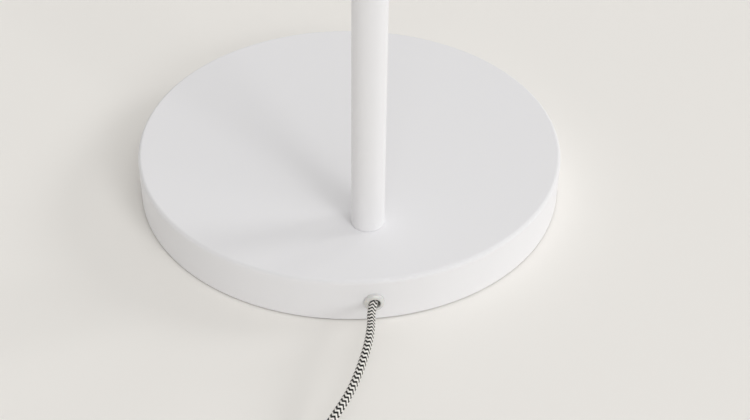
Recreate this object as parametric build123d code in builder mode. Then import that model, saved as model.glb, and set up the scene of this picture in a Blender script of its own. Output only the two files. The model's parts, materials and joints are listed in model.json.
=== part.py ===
from build123d import *
from math import cos, pi, radians, sin, sqrt, tan
import os

# Arc floor lamp. The origin is the centre of the round base on the floor, +Z is up,
# and the arc reaches towards +Y. All sizes are in millimetres.

os.makedirs("parts", exist_ok=True)

# Base
base_diameter = 300.0
base_height = 33.0
cover_wall = 1.5
cover_edge_radius = 2.5
cover_floor_gap = 1.0
pad_thickness = 2.0
pad_setback = 8.0
ballast_side_gap = 1.0
ballast_rim_width = 9.0
ballast_boss_diameter = 46.0

# Post and arc
post_setback = 59.0
tube_diameter = 22.0
tube_wall = 1.5
lower_post_length = 640.0
upper_post_length = 640.0
arc_radius = 300.0
joiner_length = 80.0
joiner_wall = 3.0
joiner_screw_diameter = 4.0
joiner_screw_drop = 20.0
tube_end_margin = 5.0
tube_end_chamfer = 0.4
end_plug_depth = 22.0
end_plug_flange = 3.0

# Post bolt and the plug that it screws into
post_bolt_diameter = 8.0
post_bolt_head_height = 5.3
post_bolt_head_flats = 13.0
bolt_washer_diameter = 18.0
bolt_washer_thickness = 1.6
bolt_recess_gap = 0.5
post_plug_length = 26.0
post_plug_web = 1.6
bolt_end_gap = 3.0

# Cord entry
cord_diameter = 5.2
cord_exit_height = 16.0
cord_exit_angle = -1.6
bushing_bore = 7.6
bushing_flange_diameter = 13.2
bushing_flange_depth = 3.2
bushing_flange_round = 2.2
bushing_lip_round = 0.4
bushing_barrel_diameter = 11.0
bushing_nut_diameter = 15.0
bushing_nut_thickness = 3.0
bushing_tail = 1.0
clamp_inset = 24.0
clamp_length = 28.0
clamp_width = 10.0
clamp_height = 6.0
clamp_edge_round = 1.5
clamp_screw_diameter = 3.0
clamp_screw_length = 9.0
clamp_screw_head_diameter = 5.6
clamp_screw_head_height = 2.0

# Leads inside the lamp
lead_diameter = 5.0
lead_bend_radius = 11.0
lead_sway_rise = 45.0
lead_sway_radius = 60.0
joint_lead_diameter = 3.0
joint_lead_bend = 2.5

# Tilt joint
cup_radius = 13.0
cup_depth = 10.0
cup_wall = 2.0
cup_clearance = 1.0
friction_washer_thickness = 1.0
collar_diameter = 18.0
collar_height = 10.0
stem_diameter = 10.0
stem_bore = 7.0
stem_grip = 12.0
neck_width = 14.0
pivot_diameter = 5.0
pivot_head_diameter = 10.0
pivot_head_height = 3.0
pivot_slot_width = 1.0
pivot_slot_depth = 1.5
spring_washer_thickness = 1.5
tilt_knob_diameter = 20.0
tilt_knob_thickness = 12.0
tilt_knob_flutes = 12
tilt_knob_flute_radius = 1.6

# Shade
shade_radius = 135.0
shade_wall = 1.2
shade_skirt = 34.0
shade_bead_radius = 1.5
shade_nut_flats = 17.0
shade_nut_thickness = 4.0

# Lampholder
holder_diameter = 40.0
holder_wall = 2.2
holder_top_diameter = 24.0
holder_cone_height = 14.0
holder_cap_skirt = 9.0
holder_mouth_gap = 1.5
holder_neck_length = 7.0
holder_lip = 1.2
core_thickness = 12.0
shell_bore = 27.2
shell_wall = 0.8
shell_length = 21.0
contact_width = 6.0
contact_thickness = 0.8
contact_button = 1.2
terminal_screw_diameter = 3.0
terminal_spacing = 17.0

# Bulb
bulb_cap_diameter = 26.2
bulb_cap_length = 23.0
bulb_insulator_height = 3.0
bulb_tip_diameter = 9.0
bulb_tip_height = 1.5
bulb_collar_diameter = 46.0
bulb_collar_length = 26.0
bulb_globe_diameter = 60.0
bulb_globe_wall = 1.5

# Rotary switch on the shade's flat top
switch_body_diameter = 18.0
switch_body_height = 13.0
switch_neck_diameter = 8.0
switch_nut_diameter = 14.0
switch_nut_thickness = 2.5
switch_shaft_diameter = 4.0
switch_side_gap = 1.5
switch_knob_diameter = 17.0
switch_knob_height = 13.0
switch_knob_wall = 2.5
switch_knob_round = 1.6
switch_knob_lift = 0.6
switch_pointer_width = 1.6

# Coil of cord, its tie, and the plug
coil_turn_diameter = 62.0
coil_width = 23.2
coil_height = 17.2
coil_round = 8.4
coil_centre_x = -35.0
coil_centre_y = -350.0
tie_width = 12.0
tie_thickness = 0.8
tie_angle = 35.0
plug_reach = 45.0
plug_width = 35.0
plug_thickness = 13.7
plug_body_length = 36.0
plug_front_width = 26.0
plug_shoulder = 14.0
plug_edge_round = 3.0
relief_length = 28.0
relief_root_diameter = 11.0
relief_tip_diameter = 8.0
pin_diameter = 4.0
pin_length = 19.0
pin_sleeve_length = 10.0
pin_sleeve_wall = 0.5
pin_spacing = 18.6
pin_root = 6.0

# Clearances: glued, pressed and threaded fits, turning fits, sliding faces, drilled holes
fit_gap = 0.05
running_gap = 0.06
slide_gap = 0.15
hole_gap = 0.5

# Places worked out from the sizes above
base_radius = base_diameter / 2
cover_inner_radius = base_radius - cover_wall
cover_ceiling = base_height - cover_wall
ballast_radius = cover_inner_radius - ballast_side_gap
ballast_plate_top = cord_exit_height
tube_radius = tube_diameter / 2
tube_bore_radius = tube_radius - tube_wall
cord_radius = cord_diameter / 2
lead_radius = lead_diameter / 2
post_y = post_setback - base_radius
head_y = post_y + 2 * arc_radius
lower_joint_z = base_height + lower_post_length
upper_joint_z = lower_joint_z + upper_post_length
arc_spring_z = upper_joint_z + joiner_length / 2 + tube_end_margin
arc_end_z = arc_spring_z - end_plug_depth - tube_end_margin
collar_drop = cup_radius + cup_clearance
pivot_z = arc_end_z - end_plug_flange - collar_height - collar_drop
shade_seat_z = pivot_z - collar_drop - collar_height

# The lead passes the bolt in the foot of the post: lead, flat of the plug, web, bolt
lead_foot_y = post_y - (tube_bore_radius - lead_radius - hole_gap)
plug_flat_y = lead_foot_y + lead_radius + hole_gap
bolt_y = plug_flat_y + post_plug_web + post_bolt_diameter / 2

exit_angle = radians(cord_exit_angle)
exit_direction = Vector(sin(exit_angle), -cos(exit_angle), 0)
exit_across = Vector(cos(exit_angle), sin(exit_angle), 0)


def exit_plane(radius):
    """Upright plane across the cord's way out of the base, facing outwards."""
    origin = exit_direction * radius + Vector(0, 0, cord_exit_height)
    return Plane(origin=origin, x_dir=exit_across, z_dir=exit_direction)


def upright_plane(y):
    """Plane for the profile of a turned piece: local x is +X, local y is +Z."""
    return Plane(origin=(0, y, 0), x_dir=(1, 0, 0), z_dir=(0, -1, 0))


def pivot_plane(x):
    """Plane across the tilt axis: local x is +Y, local y is +Z, normal +X."""
    return Plane(origin=(x, head_y, pivot_z), x_dir=(0, 1, 0), z_dir=(1, 0, 0))


def head_plane(z):
    """Level plane on the axis of the head."""
    return Plane(origin=(0, head_y, z))


def save(piece, name):
    piece.label = name
    export_step(piece, f"parts/{name}.step")


def ring(plane, outer_radius, inner_radius, height):
    """Straight tube, sleeve or washer that stands on a plane."""
    with BuildPart() as piece:
        with BuildSketch(plane):
            Circle(outer_radius)
            Circle(inner_radius, mode=Mode.SUBTRACT)
        extrude(amount=height)
    return piece.part


def hex_nut(plane, flats, inner_radius, height):
    with BuildPart() as piece:
        with BuildSketch(plane):
            RegularPolygon(flats / 2, 6, major_radius=False)
            Circle(inner_radius, mode=Mode.SUBTRACT)
        extrude(amount=height)
    return piece.part


def route_radii(points):
    """Radius at each corner of a cord's route, as large as its two runs allow."""
    radii = []
    for before, corner, after in zip(points, points[1:], points[2:]):
        run_in = Vector(*corner) - Vector(*before)
        run_out = Vector(*after) - Vector(*corner)
        turn = radians(run_in.get_angle(run_out))
        radii.append(0.45 * min(run_in.length, run_out.length) / tan(turn / 2))
    return radii


def cord_tube(points, radii, diameter):
    """Round tube along straight runs joined by tangent arcs."""
    with BuildPart() as piece:
        with BuildLine() as route:
            FilletPolyline(*points, radius=radii)
        with BuildSketch(Plane(origin=route.line @ 0, z_dir=route.line % 0)):
            Circle(diameter / 2)
        sweep()
    length = route.wire().length
    share = piece.part.volume / (pi * diameter**2 / 4 * length)
    print(f"tube length {length:.1f}, volume share {share:.4f}, radii {[round(r, 1) for r in radii]}")
    return piece.part


# Floor pad: felt disc under the ballast, set back from the rim of the cover
with BuildPart() as floor_pad:
    with BuildSketch():
        Circle(base_radius - pad_setback)
    extrude(amount=pad_thickness)
save(floor_pad.part, "floor_pad")

# Ballast: cast dish with a raised rim and a boss under the post. A tapered channel leads
# the cord from the rim to the boss, and a notch in the rim makes room for the bushing nut.
bolt_recess_depth = bolt_recess_gap + post_bolt_head_height + bolt_washer_thickness
bushing_nut_radius = bushing_nut_diameter / 2
bushing_nut_seat = sqrt(cover_inner_radius**2 - bushing_nut_radius**2) - fit_gap
bushing_inner_end = bushing_nut_seat - bushing_nut_thickness - bushing_tail
clamp_radius = base_radius - clamp_inset
clamp_screw_spacing = clamp_length - 2 * clamp_screw_head_diameter
cord_entry_start = clamp_radius - clamp_width / 2 - cord_radius
cord_entry_end = base_radius + bushing_flange_depth / 4
channel_floor = cord_exit_height - cord_radius - hole_gap
with BuildPart() as ballast_disc:
    with BuildSketch(Plane.XY.offset(pad_thickness)):
        Circle(ballast_radius)
    extrude(amount=ballast_plate_top - pad_thickness)
    with BuildSketch(Plane.XY.offset(ballast_plate_top)):
        Circle(ballast_radius)
        Circle(ballast_radius - ballast_rim_width, mode=Mode.SUBTRACT)
        with Locations((0, post_y)):
            Circle(ballast_boss_diameter / 2)
    extrude(amount=cover_ceiling - ballast_plate_top)
    outer_edges = ballast_disc.edges().filter_by(GeomType.CIRCLE).group_by(SortBy.RADIUS)[-1]
    chamfer(outer_edges.sort_by(Axis.Z)[-1], cover_edge_radius)
    with BuildSketch(Plane.XY.offset(channel_floor)):
        with Locations((exit_direction.X * base_radius, exit_direction.Y * base_radius)):
            Circle(cord_diameter)
        with Locations((exit_direction.X * cord_entry_start, exit_direction.Y * cord_entry_start)):
            Circle(cord_radius + 2 * hole_gap)
        with Locations((0, lead_foot_y)):
            Circle(lead_radius + hole_gap)
        make_hull()
    extrude(amount=base_height - channel_floor, mode=Mode.SUBTRACT)
    with BuildSketch(exit_plane(base_radius)):
        with Locations((0, cover_ceiling / 2 - bushing_nut_radius / 2)):
            Rectangle(bushing_nut_diameter + 4 * hole_gap, cover_ceiling + bushing_nut_radius)
    extrude(amount=bushing_inner_end - hole_gap - base_radius, mode=Mode.SUBTRACT)
    with Locations(Plane(origin=(0, bolt_y, pad_thickness), z_dir=(0, 0, -1))):
        CounterBoreHole(
            post_bolt_diameter / 2 + fit_gap,
            bolt_washer_diameter / 2 + hole_gap,
            bolt_recess_depth,
        )
    with Locations(Plane(exit_plane(clamp_radius).origin, x_dir=exit_across)):
        with GridLocations(clamp_screw_spacing, 0, 2, 1):
            Hole(clamp_screw_diameter / 2 + fit_gap, clamp_screw_length - clamp_height + hole_gap)
save(ballast_disc.part, "ballast_disc")

# Base cover: pressed steel pan, open below, pierced for the bolt, the lead and the bushing
with BuildPart() as base_cover:
    with BuildSketch(Plane.XY.offset(cover_floor_gap)):
        Circle(base_radius)
    extrude(amount=base_height - cover_floor_gap)
    fillet(base_cover.faces().sort_by(Axis.Z)[-1].edges(), cover_edge_radius)
    offset(amount=-cover_wall, openings=base_cover.faces().sort_by(Axis.Z)[0])
    with Locations((0, bolt_y, base_height)):
        Hole(post_bolt_diameter / 2 + fit_gap, 2 * cover_wall)
    with Locations((0, lead_foot_y, base_height)):
        Hole(lead_radius + hole_gap, 2 * cover_wall)
    with BuildSketch(exit_plane(bushing_inner_end)):
        Circle(bushing_barrel_diameter / 2 + fit_gap)
    extrude(amount=base_radius - bushing_inner_end + cover_wall, mode=Mode.SUBTRACT)
save(base_cover.part, "base_cover")

# Post bolt: hex head in the ballast's recess, shank up through boss and cover into the plug
bolt_head_z = pad_thickness + bolt_recess_gap
bolt_shank_z = bolt_head_z + post_bolt_head_height
with BuildPart() as post_bolt:
    with BuildSketch(Plane(origin=(0, bolt_y, bolt_head_z))):
        RegularPolygon(post_bolt_head_flats / 2, 6, major_radius=False)
    extrude(amount=post_bolt_head_height)
    with BuildSketch(Plane(origin=(0, bolt_y, bolt_shank_z))):
        Circle(post_bolt_diameter / 2)
    extrude(amount=base_height + post_plug_length - bolt_end_gap - bolt_shank_z)
save(post_bolt.part, "post_bolt")

bolt_washer = ring(
    Plane(origin=(0, bolt_y, bolt_shank_z)),
    bolt_washer_diameter / 2,
    post_bolt_diameter / 2 + fit_gap,
    bolt_washer_thickness,
)
save(bolt_washer, "bolt_washer")

# Post plug: steel block in the foot of the post, flat on the side where the lead passes
with BuildPart() as post_plug:
    with BuildSketch(Plane(origin=(0, post_y, base_height))):
        Circle(tube_bore_radius - fit_gap)
        with Locations((0, plug_flat_y - post_y)):
            Rectangle(
                tube_diameter, tube_diameter, align=(Align.CENTER, Align.MAX), mode=Mode.SUBTRACT
            )
        with Locations((0, bolt_y - post_y)):
            Circle(post_bolt_diameter / 2 + fit_gap, mode=Mode.SUBTRACT)
    extrude(amount=post_plug_length)
save(post_plug.part, "post_plug")

# Cord bushing: domed ring outside the cover, threaded barrel through its wall. The rounds
# on both edges of the ring are limited by its width.
bushing_ring_width = (bushing_flange_diameter - bushing_bore) / 2
dome_round = min(bushing_flange_round, 0.8 * bushing_ring_width, 0.9 * bushing_flange_depth)
lip_round = min(bushing_lip_round, 0.15 * bushing_ring_width)
with BuildPart() as cord_bushing:
    bushing_profile_plane = Plane(
        origin=exit_plane(base_radius).origin,
        x_dir=exit_direction,
        z_dir=exit_direction.cross(Vector(0, 0, 1)),
    )
    with BuildSketch(bushing_profile_plane):
        with BuildLine():
            Polyline(
                (bushing_flange_depth - lip_round, bushing_bore / 2),
                (bushing_inner_end - base_radius, bushing_bore / 2),
                (bushing_inner_end - base_radius, bushing_barrel_diameter / 2),
                (0, bushing_barrel_diameter / 2),
                (0, bushing_flange_diameter / 2),
                (bushing_flange_depth - dome_round, bushing_flange_diameter / 2),
            )
            dome = JernArc(
                (bushing_flange_depth - dome_round, bushing_flange_diameter / 2), (1, 0), dome_round, -90
            )
            Line(dome @ 1, (bushing_flange_depth, bushing_bore / 2 + lip_round))
            JernArc((bushing_flange_depth, bushing_bore / 2 + lip_round), (0, -1), lip_round, -90)
        make_face()
    revolve(axis=Axis(exit_plane(base_radius).origin, exit_direction))
save(cord_bushing.part, "cord_bushing")

bushing_nut = ring(
    exit_plane(bushing_nut_seat - bushing_nut_thickness),
    bushing_nut_radius,
    bushing_barrel_diameter / 2 + fit_gap,
    bushing_nut_thickness,
)
save(bushing_nut, "bushing_nut")

# Cord clamp: bar across the channel that holds the cord down, with two screws
with BuildPart() as cord_clamp:
    with BuildSketch(exit_plane(clamp_radius)):
        Rectangle(clamp_length, clamp_height, align=(Align.CENTER, Align.MIN))
        Circle(cord_radius + fit_gap, mode=Mode.SUBTRACT)
    extrude(amount=clamp_width / 2, both=True)
    fillet(cord_clamp.edges().filter_by(Axis.Z), clamp_edge_round)
    with Locations(Plane(exit_plane(clamp_radius).origin, x_dir=exit_across).offset(clamp_height)):
        with GridLocations(clamp_screw_spacing, 0, 2, 1):
            Hole(clamp_screw_diameter / 2 + fit_gap, 2 * clamp_height)
save(cord_clamp.part, "cord_clamp")

clamp_top_plane = Plane(exit_plane(clamp_radius).origin, x_dir=exit_across).offset(clamp_height)
with BuildPart() as clamp_screws:
    with BuildSketch(clamp_top_plane):
        with GridLocations(clamp_screw_spacing, 0, 2, 1):
            Circle(clamp_screw_head_diameter / 2)
    extrude(amount=clamp_screw_head_height)
    with BuildSketch(clamp_top_plane):
        with GridLocations(clamp_screw_spacing, 0, 2, 1):
            Circle(clamp_screw_diameter / 2)
    extrude(amount=-clamp_screw_length)
save(clamp_screws.part, "clamp_screws")

# Post: two straight tubes, butted on inner joiners, each joint held by a screw at the back
lower_screw_z = lower_joint_z - joiner_screw_drop
upper_screw_z = upper_joint_z - joiner_screw_drop


def screw_plane(z):
    """Plane of a joiner screw's outer face, at the back of the post."""
    return Plane(origin=(0, post_y - tube_radius, z), x_dir=(1, 0, 0), z_dir=(0, -1, 0))


def break_tube_ends(piece):
    """Small chamfer on the outer edge of both sawn ends of a tube."""
    for end in piece.faces().filter_by(GeomType.PLANE):
        chamfer(end.outer_wire().edges(), tube_end_chamfer)


def post_tube(foot_z, length, screw_z):
    with BuildPart() as piece:
        with BuildSketch(Plane(origin=(0, post_y, foot_z))):
            Circle(tube_radius)
            Circle(tube_bore_radius, mode=Mode.SUBTRACT)
        extrude(amount=length)
        break_tube_ends(piece)
        with BuildSketch(screw_plane(screw_z)):
            Circle(joiner_screw_diameter / 2 + fit_gap)
        extrude(amount=-tube_radius, mode=Mode.SUBTRACT)
    return piece.part


def post_joiner(joint_z, screw_z):
    with BuildPart() as piece:
        with BuildSketch(Plane(origin=(0, post_y, joint_z - joiner_length / 2))):
            Circle(tube_bore_radius - fit_gap)
            Circle(tube_bore_radius - fit_gap - joiner_wall, mode=Mode.SUBTRACT)
        extrude(amount=joiner_length)
        with BuildSketch(screw_plane(screw_z)):
            Circle(joiner_screw_diameter / 2 + fit_gap)
        extrude(amount=-tube_radius, mode=Mode.SUBTRACT)
    return piece.part


save(post_tube(base_height, lower_post_length, lower_screw_z), "lower_post")
save(post_tube(lower_joint_z, upper_post_length, upper_screw_z), "upper_post")
save(post_joiner(lower_joint_z, lower_screw_z), "lower_joiner")
save(post_joiner(upper_joint_z, upper_screw_z), "upper_joiner")

joiner_screw_length = tube_wall + joiner_wall
joiner_socket_radius = joiner_screw_diameter / 4
with BuildPart() as joiner_screws:
    for screw_z in (lower_screw_z, upper_screw_z):
        with BuildSketch(screw_plane(screw_z).offset(-joiner_screw_length)):
            Circle(joiner_screw_diameter / 2)
        extrude(amount=joiner_screw_length - tube_wall / 4)
        with BuildSketch(screw_plane(screw_z)):
            RegularPolygon(joiner_socket_radius, 6)
        extrude(amount=-joiner_screw_length / 2, mode=Mode.SUBTRACT)
save(joiner_screws.part, "joiner_screws")

# Arc: one bent tube with a straight end on each side of the half circle
arc_top = Vector(0, post_y + arc_radius, arc_spring_z + arc_radius)
with BuildPart() as arc_tube:
    with BuildLine() as arc_path:
        Line((0, post_y, upper_joint_z), (0, post_y, arc_spring_z))
        ThreePointArc((0, post_y, arc_spring_z), arc_top, (0, head_y, arc_spring_z))
        Line((0, head_y, arc_spring_z), (0, head_y, arc_end_z))
    with BuildSketch(Plane(origin=(0, post_y, upper_joint_z))):
        Circle(tube_radius)
        Circle(tube_bore_radius, mode=Mode.SUBTRACT)
    sweep()
    break_tube_ends(arc_tube)
save(arc_tube.part, "arc_tube")

collar_top_z = pivot_z + collar_drop + collar_height
with BuildPart() as arc_end_plug:
    with BuildSketch(head_plane(collar_top_z)):
        Circle(tube_radius)
    extrude(amount=end_plug_flange)
    with BuildSketch(head_plane(arc_end_z)):
        Circle(tube_bore_radius - fit_gap)
    extrude(amount=end_plug_depth)
    with BuildSketch(head_plane(collar_top_z)):
        Circle(lead_radius + hole_gap)
    extrude(amount=end_plug_flange + end_plug_depth, mode=Mode.SUBTRACT)
    with BuildSketch(head_plane(collar_top_z)):
        Circle(stem_diameter / 2 + fit_gap)
    extrude(amount=stem_grip + hole_gap, mode=Mode.SUBTRACT)
save(arc_end_plug.part, "arc_end_plug")

# Cord entry: the braided cord from inside the bushing to the inner side of the clamp
with BuildPart() as cord_entry:
    with BuildSketch(exit_plane(cord_entry_start)):
        Circle(cord_radius)
    extrude(amount=cord_entry_end - cord_entry_start)
save(cord_entry.part, "cord_entry")

# Inner lead: from the clamp along the channel, up beside the bolt, then through the tubes
lead_end_z = collar_top_z + hole_gap
lead_straight_z = base_height + post_plug_length + lead_diameter
lead_points = [
    exit_plane(cord_entry_start).origin,
    Vector(0, lead_foot_y, cord_exit_height),
    Vector(0, lead_foot_y, lead_straight_z),
    Vector(0, post_y, lead_straight_z + lead_sway_rise),
    Vector(0, post_y, arc_spring_z),
]
with BuildPart() as inner_lead:
    with BuildLine() as lead_path:
        FilletPolyline(*lead_points, radius=[lead_bend_radius, lead_sway_radius, lead_sway_radius])
        ThreePointArc((0, post_y, arc_spring_z), arc_top, (0, head_y, arc_spring_z))
        Line((0, head_y, arc_spring_z), (0, head_y, lead_end_z))
    with BuildSketch(Plane(origin=lead_path.line @ 0, z_dir=lead_path.line % 0)):
        Circle(lead_radius)
    sweep()
save(inner_lead.part, "inner_lead")

# Tilt joint: two hollow cups face each other across a friction washer. The upper cup hangs
# from the arc at -X, and the lower cup carries the head at +X.
washer_half = friction_washer_thickness / 2
cup_bore_radius = cup_radius - cup_wall
joint_lead_x = washer_half + joint_lead_diameter / 2 + 2 * hole_gap
joint_lead_hole = joint_lead_diameter / 2 + hole_gap


def joint_half(side, up, gap, hole_radius, stem_length):
    """Half of the tilt joint. side is the cup's side along X, up is where its stem points."""
    rim_x = side * (washer_half + gap)
    outer_x = side * (washer_half + cup_depth)
    collar_z = pivot_z + up * collar_drop
    with BuildPart() as piece:
        with BuildSketch(pivot_plane(rim_x)):
            Circle(cup_radius)
        extrude(amount=outer_x - rim_x)
        with BuildSketch(pivot_plane(rim_x)):
            with Locations((0, up * collar_drop / 2)):
                Rectangle(neck_width, collar_drop)
        extrude(amount=side * (collar_diameter / 2 - washer_half - cup_wall))
        with BuildSketch(pivot_plane(rim_x)):
            Circle(cup_bore_radius)
        extrude(amount=outer_x - rim_x - side * cup_wall, mode=Mode.SUBTRACT)
        with BuildSketch(pivot_plane(rim_x)):
            Circle(hole_radius)
        extrude(amount=outer_x - rim_x, mode=Mode.SUBTRACT)
        with BuildSketch(head_plane(collar_z)):
            Circle(collar_diameter / 2)
        extrude(amount=up * collar_height)
        with BuildSketch(head_plane(collar_z + up * collar_height)):
            Circle(stem_diameter / 2)
        extrude(amount=up * stem_length)
        with BuildSketch(head_plane(collar_z)):
            Circle(joint_lead_x + joint_lead_hole)
        extrude(amount=up * (collar_height - cup_wall), mode=Mode.SUBTRACT)
        with BuildSketch(head_plane(collar_z)):
            Circle(stem_bore / 2)
        extrude(amount=up * (collar_height + stem_length), mode=Mode.SUBTRACT)
        with BuildSketch(head_plane(pivot_z + up * cup_bore_radius / 2)):
            with Locations((side * joint_lead_x, 0)):
                Circle(joint_lead_hole)
        extrude(amount=up * collar_drop, mode=Mode.SUBTRACT)
    return piece.part


holder_top_z = shade_seat_z - shade_wall - shade_nut_thickness
lower_stem_length = shade_seat_z - holder_top_z + holder_wall + shade_nut_thickness
save(joint_half(-1, 1, 0, pivot_diameter / 2 + fit_gap, stem_grip), "knuckle_upper")
save(joint_half(1, -1, slide_gap, pivot_diameter / 2 + running_gap, lower_stem_length), "knuckle_lower")

friction_washer = ring(
    pivot_plane(-washer_half), cup_radius, cup_bore_radius, friction_washer_thickness
)
save(friction_washer, "friction_washer")

cup_outer_x = washer_half + cup_depth
knob_start_x = cup_outer_x + slide_gap + spring_washer_thickness
knob_end_x = knob_start_x + slide_gap + tilt_knob_thickness
with BuildPart() as pivot_screw:
    with BuildSketch(pivot_plane(-cup_outer_x)):
        Circle(pivot_head_diameter / 2)
    extrude(amount=-pivot_head_height)
    with BuildSketch(pivot_plane(-cup_outer_x - pivot_head_height)):
        Rectangle(pivot_head_diameter, pivot_slot_width)
    extrude(amount=pivot_slot_depth, mode=Mode.SUBTRACT)
    with BuildSketch(pivot_plane(-cup_outer_x)):
        Circle(pivot_diameter / 2)
    extrude(amount=cup_outer_x + knob_end_x - pivot_diameter / 2)
save(pivot_screw.part, "pivot_screw")

spring_washer = ring(
    pivot_plane(cup_outer_x + slide_gap),
    pivot_head_diameter / 2,
    pivot_diameter / 2 + fit_gap,
    spring_washer_thickness,
)
save(spring_washer, "spring_washer")

with BuildPart() as tilt_knob:
    with BuildSketch(pivot_plane(knob_start_x + slide_gap)):
        Circle(tilt_knob_diameter / 2)
        with PolarLocations(tilt_knob_diameter / 2, tilt_knob_flutes):
            Circle(tilt_knob_flute_radius, mode=Mode.SUBTRACT)
    extrude(amount=tilt_knob_thickness)
    with BuildSketch(pivot_plane(knob_start_x + slide_gap)):
        Circle(pivot_diameter / 2 + running_gap)
    extrude(amount=tilt_knob_thickness - pivot_diameter / 4, mode=Mode.SUBTRACT)
save(tilt_knob.part, "tilt_knob")

# Joint lead: down through the upper cup, past the screw, across and out of the lower cup
lead_pass_y = cup_bore_radius / 2
lead_pass_z = cup_bore_radius / 3
upper_half = [
    Vector(0, 0, collar_drop + collar_height + hole_gap),
    Vector(0, 0, collar_drop + collar_height - cup_wall / 2),
    Vector(-joint_lead_x, 0, collar_drop + cup_clearance),
    Vector(-joint_lead_x, 0, cup_bore_radius - hole_gap),
    Vector(-joint_lead_x, lead_pass_y, lead_pass_z),
]
lower_half = [Vector(-p.X, p.Y, -p.Z) for p in reversed(upper_half)]
joint_lead_points = [Vector(0, head_y, pivot_z) + p for p in upper_half + lower_half]
with BuildPart() as joint_lead:
    with BuildLine() as joint_lead_path:
        FilletPolyline(*joint_lead_points, radius=joint_lead_bend)
    with BuildSketch(head_plane(joint_lead_points[0].Z)):
        Circle(joint_lead_diameter / 2)
    sweep()
save(joint_lead.part, "joint_lead")

# Shade: spun dome with a flat top, a short straight skirt and a rolled rim
holder_radius = holder_diameter / 2
switch_x = -(holder_radius + switch_body_diameter / 2 + switch_side_gap)
shade_flat_radius = switch_nut_diameter / 2 - switch_x + 2 * shade_wall
shade_bore_radius = shade_radius - shade_wall
dome_z = shade_seat_z - sqrt(shade_radius**2 - shade_flat_radius**2)
shade_mouth_z = dome_z - shade_skirt
shade_ceiling_z = shade_seat_z - shade_wall
shade_inner_flat = sqrt(shade_bore_radius**2 - (shade_ceiling_z - dome_z) ** 2)
stem_hole = stem_diameter / 2 + fit_gap
diagonal = sqrt(0.5)
with BuildPart() as shade:
    with BuildSketch(upright_plane(head_y)):
        with BuildLine():
            Line((stem_hole, shade_ceiling_z), (stem_hole, shade_seat_z))
            Line((stem_hole, shade_seat_z), (shade_flat_radius, shade_seat_z))
            ThreePointArc(
                (shade_flat_radius, shade_seat_z),
                (diagonal * shade_radius, dome_z + diagonal * shade_radius),
                (shade_radius, dome_z),
            )
            Line((shade_radius, dome_z), (shade_radius, shade_mouth_z))
            Line((shade_radius, shade_mouth_z), (shade_bore_radius, shade_mouth_z))
            Line((shade_bore_radius, shade_mouth_z), (shade_bore_radius, dome_z))
            ThreePointArc(
                (shade_bore_radius, dome_z),
                (diagonal * shade_bore_radius, dome_z + diagonal * shade_bore_radius),
                (shade_inner_flat, shade_ceiling_z),
            )
            Line((shade_inner_flat, shade_ceiling_z), (stem_hole, shade_ceiling_z))
        make_face()
        with Locations((shade_radius - shade_wall / 2, shade_mouth_z)):
            Circle(shade_bead_radius)
    revolve(axis=Axis((0, head_y, 0), (0, 0, 1)))
    with Locations((switch_x, head_y, shade_seat_z)):
        Hole(switch_neck_diameter / 2 + fit_gap, 2 * shade_wall)
save(shade.part, "shade")

save(hex_nut(head_plane(holder_top_z), shade_nut_flats, stem_hole, shade_nut_thickness), "shade_nut")

# Lampholder: cap on the stem, body screwed into the cap, ceramic core with its contacts
holder_bore_radius = holder_radius - holder_wall
holder_cone_z = holder_top_z - holder_cone_height
holder_joint_z = holder_cone_z - holder_cap_skirt
body_neck_z = holder_joint_z + holder_neck_length
core_top_z = body_neck_z
core_floor_z = core_top_z - core_thickness
bulb_tip_z = core_floor_z - contact_thickness - contact_button
insulator_top_z = bulb_tip_z - bulb_tip_height
bulb_cap_top_z = insulator_top_z - bulb_insulator_height
bulb_seat_z = bulb_cap_top_z - bulb_cap_length
holder_mouth_z = bulb_seat_z + holder_mouth_gap
with BuildPart() as holder_cap:
    with BuildSketch(upright_plane(head_y)):
        with BuildLine():
            Polyline(
                (stem_hole, holder_top_z),
                (holder_top_diameter / 2, holder_top_z),
                (holder_radius, holder_cone_z),
                (holder_radius, holder_joint_z),
                (holder_bore_radius, holder_joint_z),
                (holder_bore_radius, holder_cone_z - holder_wall / 2),
                (holder_top_diameter / 2 - holder_wall / 2, holder_top_z - holder_wall),
                (stem_hole, holder_top_z - holder_wall),
                close=True,
            )
        make_face()
    revolve(axis=Axis((0, head_y, 0), (0, 0, 1)))
save(holder_cap.part, "holder_cap")

body_neck_radius = holder_bore_radius - fit_gap
body_bore_radius = body_neck_radius - holder_wall
with BuildPart() as holder_body:
    with BuildSketch(upright_plane(head_y)):
        with BuildLine():
            Polyline(
                (body_neck_radius, body_neck_z),
                (body_neck_radius, holder_joint_z),
                (holder_radius, holder_joint_z),
                (holder_radius, holder_mouth_z),
                (body_bore_radius - holder_lip, holder_mouth_z),
                (body_bore_radius - holder_lip, holder_mouth_z + holder_lip),
                (body_bore_radius, holder_mouth_z + holder_lip),
                (body_bore_radius, body_neck_z),
                close=True,
            )
        make_face()
    revolve(axis=Axis((0, head_y, 0), (0, 0, 1)))
save(holder_body.part, "holder_body")

terminal_hole = terminal_screw_diameter / 2 + fit_gap
with BuildPart() as holder_core:
    with BuildSketch(head_plane(core_floor_z)):
        Circle(body_bore_radius - fit_gap)
        with GridLocations(terminal_spacing, 0, 2, 1):
            Circle(terminal_hole, mode=Mode.SUBTRACT)
        with GridLocations(0, terminal_spacing, 1, 2):
            Circle(joint_lead_diameter / 2 + fit_gap, mode=Mode.SUBTRACT)
    extrude(amount=core_thickness)
save(holder_core.part, "holder_core")

shell_bore_radius = shell_bore / 2
screw_shell = ring(
    head_plane(core_floor_z - shell_length), shell_bore_radius + shell_wall, shell_bore_radius, shell_length
)
save(screw_shell, "screw_shell")

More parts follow.
